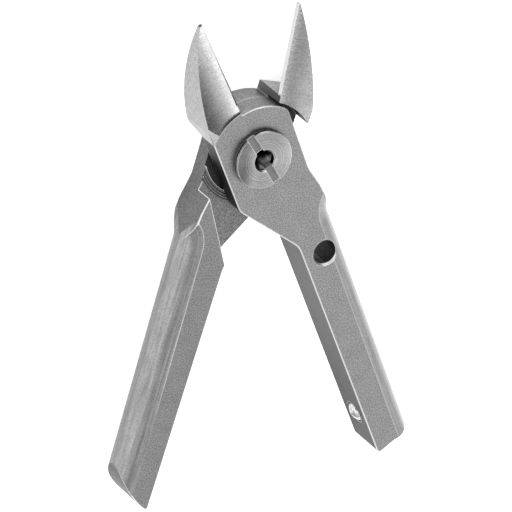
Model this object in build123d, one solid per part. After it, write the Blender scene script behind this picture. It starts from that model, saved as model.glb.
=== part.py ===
from build123d import *
import math
import os

# Flush side cutter made of two lap-jointed steel halves, all in millimetres.
# The tool lies on its back: X to the right, +Y towards the jaws, +Z out of the front.
# The origin is on the pivot axis, on the flat back of the tool. At rest the tool is open.
# Each half is drawn closed, with its handle on +X and its jaw on -X, and then turned.

# Overall sizes
thickness = 7.0
opening_angle = 38.9
lap_height = thickness / 2
lap_clearance = 0.02

# Head: a lap plate round the pivot, and the clearance for the other half's plate
plate_radius = 8.1
clearance_radius = 8.5
back_relief_radius = 9.4
jaw_side_x = -6.0
handle_side_x = 6.45
waist_x = 6.2
waist_y = -6.0
flare_x = 7.0
flare_y = -9.8
plate_corner_radius = 1.6
side_fillet = 4.0
lap_pocket_outer = 7.2
lap_pocket_inner = 5.2
lap_pocket_depth = 0.5
lap_groove_radii = (7.55, 7.9, 8.25)
lap_groove_width = 0.12
lap_groove_depth = 0.1

# Diagonal lower edge of the plate, and the shoulder that faces the other plate
diagonal_top = (jaw_side_x, -6.3)
crotch = (0.5, -17.2)
shoulder_outer = (6.45, -7.15)
shoulder_inner = (0.5, -17.0)
diagonal_corner_radius = 3.0
crotch_radius = 3.5

# Handles: flat inner wall, flat faces, rounded outer side
inner_wall_x = 0.5
handle_end_y = -57.0
end_inner_corner = (0.5, -57.4)
end_hollow = (3.9, -56.75)
face_edge_x = 4.9
outer_crown = 2.6
front_handle_taper = 0.7
rear_handle_taper = 1.8
outer_stock = 0.7
outer_stock_start_y = -15.6
grind_start_y = -15.5
grind_length = 46.0
grind_runout_radius = 5.6
grind_runout_angle = 50
grind_runout_gap = 0.2
slant_corner_start = (0.5, -55.95)
slant_corner_middle = (0.65, -56.35)
slant_start = (1.0, -56.45)
slant_middle = (4.6, -53.75)
slant_end = (7.0, -48.9)
slant_clear = (9.0, -44.0)
past_the_ends = (-1.0, 12.0, -60.0)
inner_end_radius = 0.6
outer_end_radius = 1.7
front_end_outer_x = 7.02

# Jaws: hollow-ground front face, narrow land, steep bevel behind the cutting edge
jaw_tip_y = 22.9
jaw_tip_x = -0.6
jaw_stock = (0.5, 23.0)
jaw_belly = (-4.34, 15.0)
jaw_root = (-6.1, 8.0)
jaw_root_foot_y = 5.5
root_relief = 0.4
root_block_y = 9.5
edge_gap = 0.02
edge_gap_root = 0.17
land_height = 0.4
land_lean = 0.8
bevel_lean = math.tan(math.radians(34))
jaw_fall = 0.18
face_edge_z = 6.35
hollow_radius = 12.0
hollow_tilt = 4.5
hollow_axis_x = -3.0
hollow_axis_z = 6.3
jaw_region_centre = (-4.0, 14.0)
jaw_region_width = 12.0
jaw_region_length = 20.0
jaw_grind_length = 18.0
jaw_grind_above = 3.0
jaw_grind_below = 9.0
back_curve_start = (10.0, 0.0)
back_curve_middle = (16.5, 1.05)
back_curve_tip = (23.2, 3.3)

# Pivot screw, its washer and its lock nut
shoulder_radius = 3.4
running_clearance = 0.04
thread_radius = 3.0
thread_clearance = 0.01
head_radius = 4.55
washer_thickness = 0.3
head_height = 0.65
head_dome = 0.3
screw_slot_width = 1.25
screw_slot_depth = 0.75
screw_slot_angle = -61.8
tapped_hole_radius = 1.55
tapped_hole_mouth = 1.8
tapped_mouth_sink = 0.02
nut_radius = 4.4
nut_thickness = 1.1
nut_recess = 0.15
nut_slot_width = 1.0
nut_slot_depth = 0.5
nut_side_clearance = 0.1

# Cross hole in the front half's handle, beside the joint
cross_hole_centre = (4.0, -20.5)
cross_hole_radius = 1.85
cross_hole_chamfer = 0.3

# Domed stop screw through the front half's handle
stop_y = -51.0
stop_radius = 1.5
stop_bore_radius = 1.52
stop_mouth_radius = 1.75
stop_mouth_depth = 0.35
stop_length = 5.2
stop_stand_out = 0.6
stop_dome_radius = 2.1
stop_slot_width = 0.5
stop_slot_depth = 0.8

# Broken edges
edge_break = 0.12
shortest_broken_edge = 0.45
ground_line_inside = 1.5
ground_line_outside = 1.0
level_tolerance = 0.001

# Cutting solids: how far they stand past what they cut, and a length that passes through
overcut = 1.0
through = 60.0


def corner_at(face, x, y):
    return face.vertices().sort_by_distance((x, y, 0))[0]


def half_outline():
    """Front view of one closed half, with a square handle end."""
    arc_start = (-root_relief, math.sqrt(plate_radius**2 - root_relief**2))
    arc_end = (handle_side_x, math.sqrt(plate_radius**2 - handle_side_x**2))
    arc_middle_angle = math.radians(65)
    arc_middle = (
        plate_radius * math.cos(arc_middle_angle),
        plate_radius * math.sin(arc_middle_angle),
    )
    outer_x = face_edge_x + outer_crown
    stock_x = outer_x + outer_stock
    lines = [
        Line(arc_start, (-root_relief, root_block_y)),
        Line((-root_relief, root_block_y), (jaw_stock[0], root_block_y)),
        Line((jaw_stock[0], root_block_y), jaw_stock),
        Line(jaw_stock, (jaw_tip_x, jaw_tip_y)),
        ThreePointArc((jaw_tip_x, jaw_tip_y), jaw_belly, jaw_root),
        Line(jaw_root, (jaw_side_x, jaw_root_foot_y)),
        Line((jaw_side_x, jaw_root_foot_y), diagonal_top),
        Line(diagonal_top, crotch),
        Line(crotch, end_inner_corner),
        Line(end_inner_corner, end_hollow),
        Line(end_hollow, (stock_x, handle_end_y)),
        Line((stock_x, handle_end_y), (stock_x, outer_stock_start_y)),
        Line((stock_x, outer_stock_start_y), (outer_x, outer_stock_start_y)),
        Line((outer_x, outer_stock_start_y), (flare_x, flare_y)),
        Line((flare_x, flare_y), (waist_x, waist_y)),
        Line((waist_x, waist_y), arc_end),
        ThreePointArc(arc_end, arc_middle, arc_start),
    ]
    face = make_face(lines)
    face = fillet(corner_at(face, *arc_end), plate_corner_radius)
    face = fillet(corner_at(face, waist_x, waist_y), side_fillet)
    face = fillet(corner_at(face, flare_x, flare_y), side_fillet)
    face = fillet(corner_at(face, *diagonal_top), diagonal_corner_radius)
    face = fillet(corner_at(face, *crotch), crotch_radius)
    return face


def lap_recess(plate_in_front):
    """Space for the other half's plate, over or under this half's own plate."""
    slope = (shoulder_outer[1] - shoulder_inner[1]) / (shoulder_outer[0] - shoulder_inner[0])
    left = -1.5 * plate_radius
    bottom_y = shoulder_inner[1] - overcut
    corners = [
        (left, 0),
        (shoulder_outer[0] - shoulder_outer[1] / slope, 0),
        (shoulder_inner[0] - overcut / slope, bottom_y),
        (left, bottom_y),
    ]
    plan = make_face(Polyline(*corners, close=True))
    depth = lap_height + overcut
    if plate_in_front:
        top = lap_height + lap_clearance
        disc = Pos(0, 0, top - depth) * Cylinder(
            clearance_radius, depth, align=(Align.CENTER, Align.CENTER, Align.MIN)
        )
        relief = Cone(
            back_relief_radius,
            clearance_radius,
            lap_height,
            align=(Align.CENTER, Align.CENTER, Align.MIN),
        )
        return extrude(Pos(0, 0, top - depth) * plan, depth) + disc + relief
    bottom = lap_height - lap_clearance
    disc = Pos(0, 0, bottom) * Cylinder(
        clearance_radius, depth, align=(Align.CENTER, Align.CENTER, Align.MIN)
    )
    return extrude(Pos(0, 0, bottom) * plan, depth) + disc


def outer_side_waste(taper):
    """Corners that are ground away to round the handle's outer side, with the run-out."""
    half = thickness / 2
    crown_radius = (half**2 + outer_crown**2) / (2 * outer_crown)
    crown_x = face_edge_x + outer_crown - crown_radius
    width = grind_runout_radius - grind_runout_gap
    section = Pos(face_edge_x + width / 2, half) * Rectangle(width, thickness + overcut)
    section -= Pos(crown_x, half) * Circle(crown_radius)
    upright = Plane(origin=(0, grind_start_y, 0), x_dir=(1, 0, 0), z_dir=(0, -1, 0))
    section = upright * section
    along = (-math.tan(math.radians(taper)), -1, 0)
    straight = extrude(section, amount=grind_length, dir=along)
    runout_axis = Axis((face_edge_x + grind_runout_radius, grind_start_y, 0), (0, 0, 1))
    runout = revolve(section, runout_axis, -grind_runout_angle)
    return straight + runout


def jaw_waste():
    """Everything cut away from a plain jaw block to make a ground, tapered jaw."""
    # Hollow-ground front face, which stops at a small arc-shaped step round the head.
    fall = math.degrees(math.atan(jaw_fall))
    wheel = Cylinder(hollow_radius, through)
    wheel = Rot(90, 0, 0) * wheel
    wheel = Pos(0, 0, hollow_radius) * wheel
    wheel = Rot(-fall, hollow_tilt, 0) * wheel
    wheel = Pos(hollow_axis_x, root_block_y, hollow_axis_z) * wheel
    wheel -= Cylinder(clearance_radius, through)
    region = Box(jaw_region_width, jaw_region_length, jaw_region_length)
    wheel &= Pos(*jaw_region_centre, thickness) * region
    # Land and bevel either side of the cutting edge.
    edge_z = face_edge_z - land_height
    above = edge_z + jaw_grind_above
    below = edge_z - jaw_grind_below
    profile = Polyline(
        (-edge_gap_root, edge_z),
        (-edge_gap_root - jaw_grind_above * land_lean, above),
        (jaw_grind_above, above),
        (jaw_grind_above, below),
        (-edge_gap_root - jaw_grind_below * bevel_lean, below),
        close=True,
    )
    side = Plane(origin=(0, root_block_y, 0), x_dir=(1, 0, 0), z_dir=(0, -1, 0))
    closing = (edge_gap_root - edge_gap) / (jaw_tip_y - root_block_y)
    along = (closing, 1, -jaw_fall)
    edge = extrude(side * make_face(profile), amount=jaw_grind_length, dir=along)
    # Curved back, which rises to the tip.
    tip_y, tip_z = back_curve_tip
    start_y = back_curve_start[0]
    back_lines = [
        ThreePointArc(back_curve_start, back_curve_middle, back_curve_tip),
        Line(back_curve_tip, (tip_y + overcut, tip_z)),
        Line((tip_y + overcut, tip_z), (tip_y + overcut, -overcut)),
        Line((tip_y + overcut, -overcut), (start_y, -overcut)),
        Line((start_y, -overcut), back_curve_start),
    ]
    back = Plane.YZ.offset(-jaw_region_width / 2) * make_face(back_lines)
    return [wheel, edge, extrude(back, jaw_region_width)]


def blank_half(plate_in_front, taper):
    """One closed half, before its holes."""
    body = extrude(half_outline(), thickness)
    body -= lap_recess(plate_in_front)
    body -= outer_side_waste(taper)
    for waste in jaw_waste():
        body -= waste
    return body


def break_edges(body, height):
    """Small chamfers round the plate and handle on one flat face.
    The jaw stays sharp, and so does the line where the handle's ground side begins."""
    chosen = []
    low = height - level_tolerance
    high = height + level_tolerance
    for edge in body.edges().filter_by_position(Axis.Z, low, high):
        middle = edge @ 0.5
        on_plate = middle.X > -root_relief and middle.Y < clearance_radius
        on_handle = middle.Y < jaw_root_foot_y
        past_line = middle.X - face_edge_x
        beside_line = -ground_line_inside < past_line < ground_line_outside
        ground = middle.Y < flare_y and beside_line
        if edge.length > shortest_broken_edge and (on_plate or on_handle) and not ground:
            chosen.append(edge)
    return chamfer(chosen, edge_break)


def vertical_edge(body, x, y):
    near = body.edges().filter_by(Axis.Z).sort_by_distance((x, y, lap_height))
    return near[0]


def square_end(body):
    """Round the two corners of a square handle end."""
    body = fillet(vertical_edge(body, *end_inner_corner), inner_end_radius)
    centre = (front_end_outer_x - outer_end_radius, handle_end_y + outer_end_radius)
    side = 2 * outer_end_radius
    corner = Rectangle(side, side, align=(Align.MIN, Align.MAX)) - Circle(outer_end_radius)
    body -= extrude(Pos(*centre) * corner, thickness)
    return body


def front_half():
    body = blank_half(plate_in_front=True, taper=front_handle_taper)
    body = square_end(body)
    body = break_edges(body, thickness)
    body = break_edges(body, 0)
    body -= Cylinder(shoulder_radius + running_clearance, through)
    hole_x, hole_y = cross_hole_centre
    body -= Pos(hole_x, hole_y, 0) * Cylinder(cross_hole_radius, through)
    mouth = Cone(
        cross_hole_radius,
        cross_hole_radius + cross_hole_chamfer,
        cross_hole_chamfer,
        align=(Align.CENTER, Align.CENTER, Align.MAX),
    )
    body -= Pos(hole_x, hole_y, thickness) * mouth
    body -= Pos(hole_x, hole_y, 0) * Rot(180, 0, 0) * mouth
    bore = Pos(0, stop_y, lap_height) * Rot(0, 90, 0) * Cylinder(stop_bore_radius, through)
    body -= bore
    stop_mouth = Cylinder(
        stop_mouth_radius, stop_mouth_depth, align=(Align.CENTER, Align.CENTER, Align.MIN)
    )
    body -= Pos(inner_wall_x, stop_y, lap_height) * Rot(0, 90, 0) * stop_mouth
    return body


def rear_half():
    body = blank_half(plate_in_front=False, taper=rear_handle_taper)
    # The end of this handle is cut on the slant.
    inside_x, outside_x, past_y = past_the_ends
    end_lines = [
        ThreePointArc(slant_corner_start, slant_corner_middle, slant_start),
        ThreePointArc(slant_start, slant_middle, slant_end),
        Line(slant_end, slant_clear),
        Line(slant_clear, (outside_x, past_y)),
        Line((outside_x, past_y), (inside_x, past_y)),
        Line((inside_x, past_y), (inside_x, slant_corner_start[1])),
        Line((inside_x, slant_corner_start[1]), slant_corner_start),
    ]
    body -= extrude(make_face(end_lines), thickness)
    body = break_edges(body, thickness)
    body = break_edges(body, 0)
    body -= Cylinder(thread_radius, through)
    body -= Cylinder(
        nut_radius + nut_side_clearance,
        nut_recess + nut_thickness,
        align=(Align.CENTER, Align.CENTER, Align.MIN),
    )
    pocket = Cylinder(lap_pocket_outer, lap_pocket_depth) - Cylinder(lap_pocket_inner, through)
    lap_floor = lap_height - lap_clearance
    body -= Pos(0, 0, lap_floor - lap_pocket_depth / 2) * pocket
    for radius in lap_groove_radii:
        ring = Circle(radius + lap_groove_width) - Circle(radius)
        body -= Pos(0, 0, lap_floor - lap_groove_depth) * extrude(ring, lap_groove_depth)
    return mirror(body, about=Plane.YZ)


def pivot_screw():
    """Slotted shoulder screw with a tapped centre, screwed into the rear half."""
    seat = thickness + washer_thickness
    start = (Align.CENTER, Align.CENTER, Align.MIN)
    shoulder_bottom = lap_height - lap_clearance
    thread = Cylinder(thread_radius - thread_clearance, shoulder_bottom, align=start)
    shoulder = Pos(0, 0, shoulder_bottom) * Cylinder(
        shoulder_radius, seat - shoulder_bottom, align=start
    )
    head = Pos(0, 0, seat) * Cylinder(head_radius, head_height, align=start)
    rim = head.edges().group_by(Axis.Z)[-1]
    head = chamfer(rim, edge_break)
    top = seat + head_height
    dome_radius = (head_radius**2 + head_dome**2) / (2 * head_dome)
    dome = Pos(0, 0, top + head_dome - dome_radius) * Sphere(dome_radius)
    dome &= Pos(0, 0, top) * Cylinder(head_radius - edge_break, overcut, align=start)
    screw = thread + shoulder + head + dome
    slot = Pos(0, 0, top + head_dome - screw_slot_depth) * Box(
        3 * head_radius, screw_slot_width, overcut, align=start
    )
    screw -= Rot(0, 0, screw_slot_angle) * slot
    screw -= Cylinder(tapped_hole_radius, through)
    mouth_depth = tapped_hole_mouth - tapped_hole_radius
    mouth = Cone(tapped_hole_radius, tapped_hole_mouth, mouth_depth, align=start)
    mouth_top = top + head_dome - tapped_mouth_sink
    screw -= Pos(0, 0, mouth_top - mouth_depth) * mouth
    screw -= Pos(0, 0, mouth_top) * Cylinder(tapped_hole_mouth, overcut, align=start)
    return screw


def spring_washer():
    """Flat washer under the screw's head, which keeps the joint free of play."""
    washer = Pos(0, 0, thickness + lap_clearance) * Cylinder(
        head_radius,
        washer_thickness - lap_clearance,
        align=(Align.CENTER, Align.CENTER, Align.MIN),
    )
    return washer - Cylinder(shoulder_radius + running_clearance, through)


def lock_nut():
    """Thin round nut, let into the back, with a slot across it for a pin spanner."""
    nut = Pos(0, 0, nut_recess) * Cylinder(
        nut_radius, nut_thickness, align=(Align.CENTER, Align.CENTER, Align.MIN)
    )
    nut -= Cylinder(thread_radius, through)
    nut -= Pos(0, 0, nut_recess) * Box(3 * nut_radius, nut_slot_width, 2 * nut_slot_depth)
    return nut


def stop_screw():
    """Headless screw with a domed end towards the other handle and a driver slot behind."""
    tip_x = inner_wall_x - stop_stand_out
    sagitta = stop_dome_radius - math.sqrt(stop_dome_radius**2 - stop_radius**2)
    half_chord = stop_radius / 2
    half_sagitta = stop_dome_radius - math.sqrt(stop_dome_radius**2 - half_chord**2)
    lines = [
        ThreePointArc((0, 0), (half_sagitta, half_chord), (sagitta, stop_radius)),
        Line((sagitta, stop_radius), (stop_length, stop_radius)),
        Line((stop_length, stop_radius), (stop_length, 0)),
        Line((stop_length, 0), (0, 0)),
    ]
    screw = revolve(make_face(lines), Axis.X)
    screw -= Pos(stop_length, 0, 0) * Box(2 * stop_slot_depth, 3 * stop_radius, stop_slot_width)
    return Pos(tip_x, stop_y, lap_height) * screw


half_turn = opening_angle / 2
front_turn = Rot(0, 0, half_turn)
rear_turn = Rot(0, 0, -half_turn)

nodes = {
    "front_half": front_turn * front_half(),
    "rear_half": rear_turn * rear_half(),
    "pivot_screw": pivot_screw(),
    "spring_washer": spring_washer(),
    "lock_nut": rear_turn * lock_nut(),
    "stop_screw": front_turn * stop_screw(),
}

os.makedirs("parts", exist_ok=True)
for name, solid in nodes.items():
    export_step(solid, f"parts/{name}.step")
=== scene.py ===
import math
from types import SimpleNamespace

import bpy
from mathutils import Matrix, Vector


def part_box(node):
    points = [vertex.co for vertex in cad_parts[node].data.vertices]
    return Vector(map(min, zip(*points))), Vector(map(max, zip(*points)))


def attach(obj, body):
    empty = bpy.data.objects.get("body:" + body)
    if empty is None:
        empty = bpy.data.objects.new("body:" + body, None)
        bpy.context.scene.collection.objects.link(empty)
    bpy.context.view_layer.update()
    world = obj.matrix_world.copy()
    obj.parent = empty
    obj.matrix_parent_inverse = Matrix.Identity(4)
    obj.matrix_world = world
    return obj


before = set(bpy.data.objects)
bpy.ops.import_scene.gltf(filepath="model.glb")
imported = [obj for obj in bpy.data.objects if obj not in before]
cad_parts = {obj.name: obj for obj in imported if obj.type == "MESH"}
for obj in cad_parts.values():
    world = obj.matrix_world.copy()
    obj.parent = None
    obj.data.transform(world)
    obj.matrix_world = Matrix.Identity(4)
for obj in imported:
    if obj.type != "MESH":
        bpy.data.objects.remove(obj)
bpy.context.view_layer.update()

MM = 0.001
PER_METRE = 1000
HALF_OPENING = math.radians(38.9 / 2)


# ---------------------------------------------------------------- camera

CAMERA_RIGHT = Vector((0.88078, -0.00453, 0.47350))
CAMERA_UP = Vector((0.21993, 0.88947, -0.40059))
CAMERA_DISTANCE = 0.9937
FOCAL_LENGTH = 481.3
SENSOR_WIDTH = 36
LOOK_AT = Vector((-1.502, -15.112, 8.001)) * MM


def place_camera():
    towards = CAMERA_RIGHT.cross(CAMERA_UP).normalized()
    data = bpy.data.cameras.new("camera")
    data.lens = FOCAL_LENGTH
    data.sensor_width = SENSOR_WIDTH
    data.clip_start = 0.01
    data.clip_end = 10
    camera = bpy.data.objects.new("camera", data)
    bpy.context.scene.collection.objects.link(camera)
    turn = Matrix((CAMERA_RIGHT, CAMERA_UP, towards)).transposed().to_4x4()
    camera.matrix_world = Matrix.Translation(LOOK_AT + towards * CAMERA_DISTANCE) @ turn
    bpy.context.scene.camera = camera
    bpy.context.scene.view_settings.view_transform = "Standard"


place_camera()


# ---------------------------------------------------------------- node helpers


class Shader:
    """Builds one material's node tree. Inputs may be sockets or plain values. The functions
    that use one call it s."""

    def __init__(self, name):
        self.material = bpy.data.materials.new(name)
        self.material.use_nodes = True
        self.tree = self.material.node_tree
        self.surface = self.tree.nodes["Principled BSDF"]

    def feed(self, socket, value):
        if isinstance(value, bpy.types.NodeSocket):
            self.tree.links.new(value, socket)
        else:
            socket.default_value = value

    def set(self, name, value):
        self.feed(self.surface.inputs[name], value)

    def coordinates(self):
        """The point in metres and the normal, in the object's own frame."""
        node = self.tree.nodes.new("ShaderNodeTexCoord")
        return node.outputs["Object"], node.outputs["Normal"]

    def placed(self, vector, scale=(1, 1, 1), turn=(0, 0, 0)):
        """The vector scaled and then turned."""
        node = self.tree.nodes.new("ShaderNodeMapping")
        self.feed(node.inputs["Vector"], vector)
        node.inputs["Scale"].default_value = scale
        node.inputs["Rotation"].default_value = turn
        return node.outputs[0]

    def split(self, vector):
        node = self.tree.nodes.new("ShaderNodeSeparateXYZ")
        self.feed(node.inputs[0], vector)
        return node.outputs

    def math(self, operation, a, b=0.0, c=0.0):
        node = self.tree.nodes.new("ShaderNodeMath")
        node.operation = operation
        for socket, value in zip(node.inputs, (a, b, c)):
            self.feed(socket, value)
        return node.outputs[0]

    def product(self, first, *others):
        for other in others:
            first = self.math("MULTIPLY", first, other)
        return first

    def largest(self, first, *others):
        for other in others:
            first = self.math("MAXIMUM", first, other)
        return first

    def scaled(self, value, factor, offset=0.0):
        """value times factor, plus offset."""
        return self.math("MULTIPLY_ADD", value, factor, offset)

    def outside(self, mask):
        return self.math("SUBTRACT", 1.0, mask)

    def ramp(self, value, none, full):
        """0 at none and beyond, 1 at full and beyond, smooth between. It may rise or fall."""
        node = self.tree.nodes.new("ShaderNodeMapRange")
        node.interpolation_type = "SMOOTHSTEP"
        self.feed(node.inputs["Value"], value)
        rising = (none, full, 0.0, 1.0)
        falling = (full, none, 1.0, 0.0)
        for socket, limit in zip(node.inputs[1:5], rising if none < full else falling):
            socket.default_value = limit
        return node.outputs[0]

    def band(self, value, start, full, fade, end):
        """0 up to start, 1 from full to fade, 0 from end on."""
        return self.product(self.ramp(value, start, full), self.ramp(value, end, fade))

    def blend(self, share, a, b):
        """Number a where share is 0, b where it is 1."""
        node = self.tree.nodes.new("ShaderNodeMix")
        node.data_type = "FLOAT"
        self.feed(node.inputs[0], share)
        self.feed(node.inputs[2], a)
        self.feed(node.inputs[3], b)
        return node.outputs[0]

    def radius(self, x, y):
        """The distance from the Z axis."""
        squares = self.math("ADD", self.product(x, x), self.product(y, y))
        return self.math("SQRT", squares)

    def noise(self, vector, scale=1.0, detail=3.0, roughness=0.6):
        node = self.tree.nodes.new("ShaderNodeTexNoise")
        self.feed(node.inputs["Vector"], vector)
        node.inputs["Scale"].default_value = scale
        node.inputs["Detail"].default_value = detail
        node.inputs["Roughness"].default_value = roughness
        return node.outputs[0]

    def rings(self, radius):
        """Noise that changes with the radius alone."""
        node = self.tree.nodes.new("ShaderNodeTexNoise")
        node.noise_dimensions = "1D"
        node.inputs["Scale"].default_value = 5.0
        node.inputs["Detail"].default_value = 4.0
        node.inputs["Roughness"].default_value = 0.7
        self.feed(node.inputs["W"], radius)
        return node.outputs[0]

    def spokes(self, x, y):
        """Noise that changes with the direction from the Z axis alone."""
        across = self.tree.nodes.new("ShaderNodeCombineXYZ")
        self.feed(across.inputs[0], x)
        self.feed(across.inputs[1], y)
        direction = self.tree.nodes.new("ShaderNodeVectorMath")
        direction.operation = "NORMALIZE"
        self.feed(direction.inputs[0], across.outputs[0])
        return self.noise(direction.outputs["Vector"], scale=1.1, detail=2.0, roughness=0.5)

    def length(self, vector):
        node = self.tree.nodes.new("ShaderNodeVectorMath")
        node.operation = "LENGTH"
        self.feed(node.inputs[0], vector)
        return node.outputs["Value"]

    def flatness(self, radius_mm):
        """1 on a plain surface, less within about radius_mm of an edge."""
        bevel = self.tree.nodes.new("ShaderNodeBevel")
        bevel.samples = 12
        bevel.inputs["Radius"].default_value = radius_mm * MM
        geometry = self.tree.nodes.new("ShaderNodeNewGeometry")
        dot = self.tree.nodes.new("ShaderNodeVectorMath")
        dot.operation = "DOT_PRODUCT"
        self.feed(dot.inputs[0], bevel.outputs[0])
        self.feed(dot.inputs[1], geometry.outputs["Normal"])
        return dot.outputs["Value"]

    def grey(self, value):
        node = self.tree.nodes.new("ShaderNodeCombineColor")
        for socket in node.inputs:
            self.feed(socket, value)
        return node.outputs[0]

    def bumps(self, height, strength, distance_mm):
        node = self.tree.nodes.new("ShaderNodeBump")
        node.inputs["Strength"].default_value = strength
        node.inputs["Distance"].default_value = distance_mm * MM
        self.feed(node.inputs["Height"], height)
        return node.outputs[0]


# ---------------------------------------------------------------- steel of the two halves

# Greys that differ between the halves: the flats, the inner walls beside the joint and at the
# handle's end, the ground sides, and the share of that which the sides keep at the front face. The
# halves are one steel, and these differences are painted light and shade for the light that falls
# on each half.
FRONT_TONES = SimpleNamespace(flat=0.192, wall=0.065, wall_end=0.024, belt=0.2, belt_front=0.8)
REAR_TONES = SimpleNamespace(flat=0.158, wall=0.12, wall_end=0.12, belt=0.08, belt_front=0.66)

# Greys that both halves share
RIM_TONE = 0.22
LAP_FLOOR_TONE = 0.13
LAP_FLOOR_SHADED_TONE = 0.025
# Painted shade on the lap wall beside the jaw's root
LAP_WALL_TONE = 0.03
ROOT_END_TONE = 0.3
# Painted shade in the floors of the lap grooves
GROOVE_TONE = 0.02
# Painted shade in the recesses: on the walls that face the pivot by the jaws, and in the stop
# screw's mouth
RECESS_TONE = 0.02
# Painted shade in the pocket of the lap floor
POCKET_TONE = 0.035
# The next two greys are painted highlights, along the crease at the run-out and along the edges
CREASE_TONE = 0.36
EDGE_TONE = 0.52
END_WALL_SHADE = 0.6
LOWER_SIDE_SHADE = 0.8

# Limits of the finishes, the painted shade and the painted highlights in a half's own frame: two
# numbers say where a mask is 0 and where it is 1, and four where it starts, is full, begins to fade
# and ends. X, Y, Z and
# RADIUS are millimetres from the pivot axis and the back of the tool. NX, NY and NZ are parts of
# the unit normal, and INWARD_SLOPE is its part away from the axis, times the radius.
UPRIGHT_NZ = (0.62, 0.4)
JAW_RADIUS = (8.3, 8.6)
JAW_Y = (5.0, 6.0)
JAW_SIDE_NX = (-0.3, -0.6)
LAND_Y = (9.6, 9.9)
LAND_NX = (0.5, 0.7)
LAND_NZ = (-0.1, 0.05)
ROOT_END_Y = (9.3, 9.45, 9.6, 9.8)
ROOT_END_NY = (0.7, 0.9)
MIDDLE_Z = 3.5
RUNOUT_Y = (-10.3, -10.7)
RUNOUT_SLOPE = 1.1
ROUNDED_NX = (0.2, 0.26)
ROUNDED_NY = (-0.5, -0.3)
RIM_RADIUS = (8.4, 8.3)
RIM_Y = (3.0, 4.0)
END_WALL_NY = (-0.3, -0.5)
END_WALL_Y = (-40.0, -42.0)
LAP_FLOOR_Z = (2.8, 2.9, 3.55, 3.6)
LAP_FLOOR_NZ = (0.8, 0.9)
LAP_WALL_X = (-5.2, -5.6)
LAP_WALL_Y = (7.0, 6.0)
LAP_SHADED_X = (-1.0, -2.0)
LAP_SHADED_Y = (3.0, 4.0)
PLATE_WALL_RADIUS = (8.04, 8.07, 8.13, 8.16)
GROOVES_RADIUS = (7.35, 7.45, 8.5, 8.6)
GROOVES_Z = (3.2, 3.3, 3.55, 3.6)
GROOVE_FLOOR_Z = (3.46, 3.42)
POCKET_RADIUS = (7.3, 7.15)
POCKET_Z = (2.8, 2.9, 3.2, 3.3)
INWARD_SLOPE = (-5.0, -6.0)
INWARD_RADIUS = (9.6, 9.5)
INWARD_Y = (2.0, 3.0)
INWARD_Z = (3.4, 3.45)
EDGE_REACH = 0.2
EDGE_FLATNESS = (0.995, 0.95)
FRONT_EDGE_NZ = (0.45, 0.6, 0.8, 0.9)
FRONT_EDGE_Z = (6.66, 6.7)
CREASE_FLATNESS = (0.9995, 0.996)
CREASE_X = (4.0, 4.3)
CREASE_Y = (-9.0, -10.0)
CREASE_Z = (6.6, 6.8)
STOP_MOUTH_X = (0.54, 0.58, 0.9, 0.95)
STOP_MOUTH_Y = (-53.0, -52.9, -49.1, -49.0)
STOP_MOUTH_Z = (1.2, 1.4, 5.6, 5.8)
WALL_LENGTH_Y = (-25.0, -50.0)
SIDE_FRONT_Z = (6.4, 5.7)
SIDE_LOWER_Z = (4.2, 3.6)
SCRATCH_NOISE = (0.66, 0.76)


def half_frame(s, mirrored):
    """Where a point lies in its half's own frame: handle on +x, jaw tip on +y, millimetres."""
    point, normal = s.coordinates()
    side = -1 if mirrored else 1
    closing = (0, 0, -HALF_OPENING)
    place = s.placed(point, (side * PER_METRE, PER_METRE, PER_METRE), closing)
    x, y, z = s.split(place)
    nx, ny, nz = s.split(s.placed(normal, (side, 1, 1), closing))
    return SimpleNamespace(place=place, x=x, y=y, z=z, nx=nx, ny=ny, nz=nz, radius=s.radius(x, y))


def rounded_side(s, at):
    """The ground outer side of a handle, which runs out in a curve beside the joint."""
    from_middle = s.math("ABSOLUTE", s.math("SUBTRACT", at.z, MIDDLE_Z))
    from_faces = s.math("SUBTRACT", MIDDLE_Z, from_middle)
    below_runout = s.ramp(s.scaled(from_faces, RUNOUT_SLOPE, at.y), *RUNOUT_Y)
    return s.product(below_runout, s.ramp(at.nx, *ROUNDED_NX), s.ramp(at.ny, *ROUNDED_NY))


def half_masks(s, at):
    """Where each finish, painted shade and painted highlight of a half lies, from 0 to 1."""
    mask = SimpleNamespace()
    upright = s.ramp(s.math("ABSOLUTE", at.nz), *UPRIGHT_NZ)
    mask.jaw = s.product(s.ramp(at.radius, *JAW_RADIUS), s.ramp(at.y, *JAW_Y))
    mask.jaw_face = s.product(mask.jaw, s.outside(upright))
    mask.jaw_side = s.product(mask.jaw, s.ramp(at.nx, *JAW_SIDE_NX))
    leaning = s.product(s.ramp(at.nx, *LAND_NX), s.ramp(at.nz, *LAND_NZ))
    mask.land = s.product(s.ramp(at.y, *LAND_Y), leaning)
    mask.root_end = s.product(s.band(at.y, *ROOT_END_Y), s.ramp(at.ny, *ROOT_END_NY))
    mask.rounded = rounded_side(s, at)
    bright = s.largest(mask.jaw_side, mask.land, mask.root_end, mask.rounded)
    mask.wall = s.product(upright, s.outside(bright))
    mask.rim = s.product(mask.wall, s.ramp(at.radius, *RIM_RADIUS), s.ramp(at.y, *RIM_Y))
    mask.end_wall = s.product(s.ramp(at.ny, *END_WALL_NY), s.ramp(at.y, *END_WALL_Y))
    add_joint_masks(s, at, mask)
    add_edge_masks(s, at, mask)
    return mask


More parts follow.
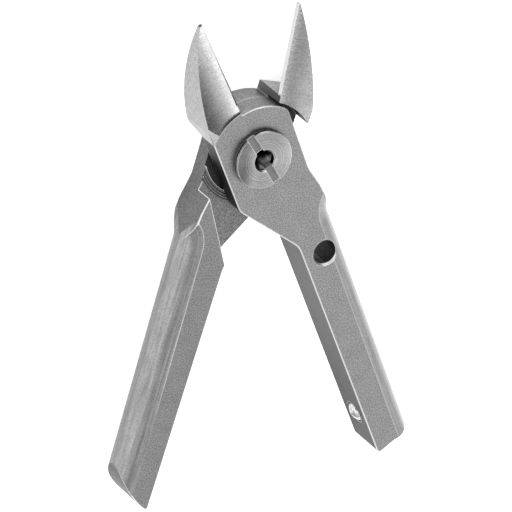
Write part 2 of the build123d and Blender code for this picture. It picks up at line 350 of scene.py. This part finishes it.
def add_joint_masks(s, at, mask):
    """The lap floor with its grooves and pocket, and the walls round it."""
    mask.lap_floor = s.product(s.band(at.z, *LAP_FLOOR_Z), s.ramp(at.nz, *LAP_FLOOR_NZ))
    mask.lap_wall = s.product(mask.wall, s.ramp(at.x, *LAP_WALL_X), s.ramp(at.y, *LAP_WALL_Y))
    plate_wall = s.product(mask.wall, s.band(at.radius, *PLATE_WALL_RADIUS))
    ring = s.product(s.band(at.radius, *GROOVES_RADIUS), s.outside(plate_wall))
    mask.grooves = s.product(ring, s.band(at.z, *GROOVES_Z))
    mask.groove_floor = s.product(mask.grooves, s.ramp(at.z, *GROOVE_FLOOR_Z))
    mask.pocket = s.product(s.band(at.z, *POCKET_Z), s.ramp(at.radius, *POCKET_RADIUS))
    # Painted shade on the walls that face the pivot by the jaws
    outward = s.scaled(at.nx, at.x, s.product(at.ny, at.y))
    faces_axis = s.product(s.ramp(outward, *INWARD_SLOPE), s.ramp(at.radius, *INWARD_RADIUS))
    mask.inward = s.product(faces_axis, s.ramp(at.y, *INWARD_Y), s.ramp(at.z, *INWARD_Z))


def add_edge_masks(s, at, mask):
    """Painted highlights along the edges and the crease at the run-out, and painted shade in the
    stop screw's mouth.
    """
    flatness = s.flatness(EDGE_REACH)
    off_lap = s.outside(s.largest(mask.grooves, mask.pocket))
    off_jaw = s.outside(s.largest(mask.jaw, mask.inward))
    near_edge = s.product(s.ramp(flatness, *EDGE_FLATNESS), off_lap, off_jaw)
    front_edge = s.product(s.band(at.nz, *FRONT_EDGE_NZ), s.ramp(at.z, *FRONT_EDGE_Z))
    mask.edge = s.largest(near_edge, s.product(front_edge, s.outside(mask.jaw)))
    at_runout = s.product(s.ramp(at.z, *CREASE_Z), s.ramp(at.x, *CREASE_X), s.ramp(at.y, *CREASE_Y))
    mask.crease = s.product(s.ramp(flatness, *CREASE_FLATNESS), at_runout)
    mouth = s.product(s.band(at.x, *STOP_MOUTH_X), s.band(at.y, *STOP_MOUTH_Y))
    mask.stop_mouth = s.product(mouth, s.band(at.z, *STOP_MOUTH_Z))


def half_textures(s, place):
    """Fine blasted grain, lengthwise belt marks, crosswise grinding and thin scratches."""
    marks = SimpleNamespace()
    marks.mottle = s.noise(place, scale=0.45)
    marks.grain = s.noise(place, scale=5.0, detail=1.0, roughness=0.8)
    marks.belt = s.noise(s.placed(place, (3.2, 0.12, 3.2)), detail=4.0, roughness=0.65)
    marks.cross = s.noise(s.placed(place, (0.5, 4.0, 1.5)))
    marks.lengthwise = s.noise(s.placed(place, (5.0, 0.4, 5.0)))
    slanting = s.placed(place, (0.5, 9.0, 1.0), (0, 0, 0.9))
    scratch = s.noise(slanting, detail=2.0, roughness=0.5)
    marks.scratches = s.ramp(scratch, *SCRATCH_NOISE)
    return marks


def belt_tone(s, at, marks, greys):
    """The ground outer sides, with painted shade near the front face and again below the middle."""
    tone = s.scaled(marks.belt, 0.3, greys.belt)
    tone = s.product(tone, s.blend(s.ramp(at.z, *SIDE_FRONT_Z), greys.belt_front, 1.0))
    return s.product(tone, s.blend(s.ramp(at.z, *SIDE_LOWER_Z), 1.0, LOWER_SIDE_SHADE))


def half_tone(s, at, mask, marks, greys):
    """The grey of a half: each finish and painted shade in turn, then its mottling, grain and
    scratches, then the painted highlights on the land, the crease and the edges.
    """
    wall = s.blend(s.ramp(at.y, *WALL_LENGTH_Y), greys.wall, greys.wall_end)
    tone = s.blend(mask.wall, greys.flat, wall)
    tone = s.product(tone, s.blend(mask.end_wall, 1.0, END_WALL_SHADE))
    tone = s.blend(mask.rim, tone, RIM_TONE)
    shaded = s.product(s.ramp(at.x, *LAP_SHADED_X), s.ramp(at.y, *LAP_SHADED_Y))
    tone = s.blend(mask.lap_floor, tone, s.blend(shaded, LAP_FLOOR_TONE, LAP_FLOOR_SHADED_TONE))
    # Painted shade on the lap wall beside the jaw's root
    tone = s.blend(mask.lap_wall, tone, LAP_WALL_TONE)
    tone = s.blend(mask.rounded, tone, belt_tone(s, at, marks, greys))
    tone = s.blend(mask.jaw_face, tone, s.scaled(marks.cross, 0.2, 0.24))
    tone = s.blend(mask.jaw_side, tone, s.scaled(marks.lengthwise, 0.34, 0.09))
    tone = s.blend(mask.root_end, tone, ROOT_END_TONE)
    # Painted shade in the floors of the lap grooves
    tone = s.blend(mask.groove_floor, tone, GROOVE_TONE)
    # Painted shade on the walls that face the pivot by the jaws and in the stop screw's mouth
    tone = s.blend(s.largest(mask.stop_mouth, mask.inward), tone, RECESS_TONE)
    # Painted shade in the pocket of the lap floor
    tone = s.blend(mask.pocket, tone, POCKET_TONE)
    tone = s.product(tone, s.scaled(marks.mottle, 0.3, 0.85))
    contrast = s.blend(s.largest(mask.jaw, mask.rounded), 2.2, 1.0)
    speckle = s.product(s.math("SUBTRACT", marks.grain, 0.5), contrast)
    tone = s.product(tone, s.math("ADD", speckle, 1.0))
    tone = s.product(tone, s.scaled(marks.scratches, 0.25, 1.0))
    # The land keeps its lengthwise marks, and its grey is lifted as a painted highlight
    tone = s.blend(mask.land, tone, s.scaled(marks.lengthwise, 0.15, 0.4))
    # Painted highlight along the crease at the run-out
    tone = s.blend(mask.crease, tone, CREASE_TONE)
    # Painted highlight along the edges and on the slanted faces at the front
    return s.blend(mask.edge, tone, EDGE_TONE)


def half_steel(name, greys, mirrored=False):
    """Bare tool steel of one half. mirrored is for the half whose handle is on the left."""
    s = Shader(name)
    at = half_frame(s, mirrored)
    mask = half_masks(s, at)
    marks = half_textures(s, at.place)
    s.set("Base Color", s.grey(half_tone(s, at, mask, marks, greys)))
    s.set("Metallic", 1.0)
    rough = s.blend(mask.wall, s.blend(mask.jaw, 0.42, 0.27), 0.48)
    s.set("Roughness", s.scaled(marks.grain, 0.12, s.math("SUBTRACT", rough, 0.06)))
    height = s.product(marks.grain, s.blend(mask.jaw, 0.9, 0.12))
    height = s.scaled(marks.belt, s.product(mask.rounded, 2.0), height)
    height = s.scaled(marks.cross, s.product(mask.jaw_face, 0.35), height)
    s.set("Normal", s.bumps(height, strength=0.5, distance_mm=0.03))
    return s.material


# ---------------------------------------------------------------- steel of the small pieces

# Greys, and limits given as for the halves, in the tool's own frame
SIDE_TONE = 0.06
# Painted shade inside the narrow bore
BORE_TONE = 0.015
BORE_RADIUS = (2.2, 2.0)
SIDE_NZ = (0.6, 0.3)
SHEEN_X = (-3.6, -1.2)
SHEEN_TILT = -0.1
# Painted shade on the floor of the screw's slot
SLOT_TONE = 0.14
SCREW_SLOT_LEVEL = 7.5
ABOVE_SLOT = (0.08, 0.02)
HEAD_Z = (7.2, 7.3)
TURNED_EDGE_REACH = 0.1
TURNED_EDGE_FLATNESS = (0.99, 0.94)
# Painted highlight along the edges of the turned pieces
TURNED_EDGE_TONE = 0.75


def turned_steel(name, tone, roughness, marks, uneven=0.0, slot_level=0.0):
    """Lathe-turned steel with fine rings round the Z axis, painted shade in a slot and in a narrow
    bore, and painted highlights on its edges. marks is how far the rings change its grey, uneven is
    how much of a painted sheen, darker to the left and streaked round the axis, goes into its grey,
    and slot_level is a slot floor's height."""
    s = Shader(name)
    point, normal = s.coordinates()
    place = s.placed(point, (PER_METRE, PER_METRE, PER_METRE))
    x, y, z = s.split(place)
    nz = s.split(normal)[2]
    radius = s.radius(x, y)
    rings = s.rings(radius)
    grain = s.noise(place, scale=6.0, detail=2.0, roughness=0.7)
    shade = s.scaled(rings, marks, tone - marks / 2)
    # Painted sheen: darker to the left, with streaks round the axis, in place of light on the
    # turned face
    sheen = s.ramp(s.scaled(y, SHEEN_TILT, x), *SHEEN_X)
    sheen = s.math("ADD", s.product(sheen, 0.75), s.product(s.spokes(x, y), 0.4))
    shade = s.product(shade, s.scaled(sheen, uneven, 1.0 - uneven * 0.8))
    shade = s.product(shade, s.scaled(grain, 1.4, 0.3))
    side = s.ramp(s.math("ABSOLUTE", nz), *SIDE_NZ)
    # Sides take a dark grey, and inside the narrow bore painted shade
    shade = s.blend(side, shade, s.blend(s.ramp(radius, *BORE_RADIUS), SIDE_TONE, BORE_TONE))
    # Painted shade on the floor of the screw's slot
    above_slot = s.math("SUBTRACT", z, slot_level)
    in_slot = s.product(s.ramp(above_slot, *ABOVE_SLOT), s.ramp(z, *HEAD_Z))
    shade = s.blend(in_slot, shade, SLOT_TONE)
    # Painted highlight along the edges
    edge = s.ramp(s.flatness(TURNED_EDGE_REACH), *TURNED_EDGE_FLATNESS)
    shade = s.blend(edge, shade, TURNED_EDGE_TONE)
    s.set("Base Color", s.grey(shade))
    s.set("Metallic", 1.0)
    s.set("Roughness", s.scaled(rings, 0.15, roughness - 0.07))
    height = s.math("ADD", rings, s.product(grain, 0.2))
    s.set("Normal", s.bumps(height, strength=0.35, distance_mm=0.03))
    return s.material


def polished_steel(name, dark, light):
    """Smooth steel in patches between two greys."""
    s = Shader(name)
    place = s.placed(s.coordinates()[0], (PER_METRE, PER_METRE, PER_METRE))
    grain = s.noise(place, scale=0.9, detail=4.0)
    s.set("Base Color", s.grey(s.blend(s.ramp(grain, 0.35, 0.65), dark, light)))
    s.set("Metallic", 1.0)
    s.set("Roughness", s.scaled(grain, 0.1, 0.12))
    return s.material


STEELS = {
    "front_half": half_steel("front_half_steel", FRONT_TONES),
    "rear_half": half_steel("rear_half_steel", REAR_TONES, mirrored=True),
    "pivot_screw": turned_steel("screw_steel", 0.21, 0.3, 0.3, 1.0, SCREW_SLOT_LEVEL),
    "lock_nut": turned_steel("nut_steel", 0.35, 0.38, 0.15),
    "spring_washer": turned_steel("washer_steel", 0.1, 0.4, 0.04),
    "stop_screw": polished_steel("stop_steel", 0.12, 0.6),
}

for node_name, steel in STEELS.items():
    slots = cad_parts[node_name].data.materials
    slots.clear()
    slots.append(steel)


# ---------------------------------------------------------------- thread in the pivot screw

THREAD_PITCH = 0.5 * MM
THREAD_STEPS = 40
THREAD_ROOT = 1.56 * MM
THREAD_CREST = 1.3 * MM
THREAD_BOTTOM = 0.4 * MM
THREAD_BELOW_TOP = 0.85 * MM


def helical_thread(name, bottom, top, steel):
    """A closed helical ridge inside a bore, with a pointed section."""
    half_pitch = THREAD_PITCH / 2
    section = ((THREAD_ROOT, -half_pitch), (THREAD_CREST, 0.0), (THREAD_ROOT, half_pitch))
    corners = len(section)
    count = round((top - bottom) / THREAD_PITCH * THREAD_STEPS)
    points = []
    for step in range(count + 1):
        angle = math.tau * step / THREAD_STEPS
        height = bottom + THREAD_PITCH * step / THREAD_STEPS
        for radius, rise in section:
            points.append((radius * math.cos(angle), radius * math.sin(angle), height + rise))
    faces = []
    for first in range(0, corners * count, corners):
        for side in range(corners):
            this, following = first + side, first + (side + 1) % corners
            faces.append((this, following, following + corners, this + corners))
    last = corners * count
    faces.append((2, 1, 0))
    faces.append((last, last + 1, last + 2))
    mesh = bpy.data.meshes.new(name)
    mesh.from_pydata(points, [], faces)
    mesh.materials.append(steel)
    piece = bpy.data.objects.new(name, mesh)
    bpy.context.scene.collection.objects.link(piece)
    return piece


thread_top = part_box("pivot_screw")[1][2] - THREAD_BELOW_TOP
# The thread's near-black greys are painted shade inside the screw's hole
thread_steel = polished_steel("thread_steel", 0.04, 0.08)
thread = helical_thread("pivot_screw_thread", THREAD_BOTTOM, thread_top, thread_steel)
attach(thread, "rear")


# ---------------------------------------------------------------- floor and light

FLOOR_SIZE = 4
FLOOR_DROP = 0.02 * MM
FLOOR_GLOW = 0.6
DARK_SPOT_RADIUS = (3.0, 5.0)


def pale_floor():
    """White floor that glows a little, except under the screw's open hole."""
    bpy.ops.mesh.primitive_plane_add(size=FLOOR_SIZE, location=(0, 0, -FLOOR_DROP))
    plane = bpy.context.object
    plane.name = "floor"
    s = Shader("floor_white")
    s.set("Base Color", (0.92, 0.92, 0.92, 1))
    s.set("Roughness", 0.8)
    s.set("Emission Color", (1, 1, 1, 1))
    place = s.placed(s.coordinates()[0], (PER_METRE, PER_METRE, PER_METRE))
    s.set("Emission Strength", s.product(s.ramp(s.length(place), *DARK_SPOT_RADIUS), FLOOR_GLOW))
    plane.data.materials.append(s.material)
    return plane


floor = pale_floor()

DIM_TOWARDS = Vector((0.72, 0.55, 0.42)).normalized()
DIM_START = 0.5
DIM_FULL = 0.77
SKY_STRENGTH = 1.5
DIM_STRENGTH = 0.12


def studio_sky():
    """Soft white surroundings, dim in one direction so that the steel shows its facets."""
    world = bpy.data.worlds.new("studio")
    bpy.context.scene.world = world
    world.use_nodes = True
    tree = world.node_tree
    direction = tree.nodes.new("ShaderNodeTexCoord")
    dot = tree.nodes.new("ShaderNodeVectorMath")
    dot.operation = "DOT_PRODUCT"
    tree.links.new(direction.outputs["Generated"], dot.inputs[0])
    dot.inputs[1].default_value = DIM_TOWARDS
    dim = tree.nodes.new("ShaderNodeMapRange")
    dim.interpolation_type = "SMOOTHSTEP"
    tree.links.new(dot.outputs["Value"], dim.inputs["Value"])
    dim.inputs["From Min"].default_value = DIM_START
    dim.inputs["From Max"].default_value = DIM_FULL
    dim.inputs["To Min"].default_value = SKY_STRENGTH
    dim.inputs["To Max"].default_value = DIM_STRENGTH
    background = tree.nodes["Background"]
    background.inputs["Color"].default_value = (1, 1, 1, 1)
    tree.links.new(dim.outputs[0], background.inputs["Strength"])


LAMP_DISTANCE = 0.9


def softbox(name, direction, size, radiance):
    """A square area light that faces the tool from the given direction."""
    light = bpy.data.lights.new(name, "AREA")
    light.size = size
    light.energy = radiance * math.pi * size * size
    lamp = bpy.data.objects.new(name, light)
    bpy.context.scene.collection.objects.link(lamp)
    lamp.location = Vector(direction).normalized() * LAMP_DISTANCE
    lamp.rotation_euler = (-Vector(direction)).to_track_quat("-Z", "Y").to_euler()


studio_sky()
softbox("overhead", (0.0, -0.35, 0.94), size=0.34, radiance=3.4)
softbox("right_front", (0.72, -0.38, 0.58), size=0.2, radiance=5.0)
softbox("behind", (0.42, 0.78, 0.46), size=0.5, radiance=3.0)
softbox("left_fill", (-0.85, 0.0, 0.5), size=0.3, radiance=1.6)
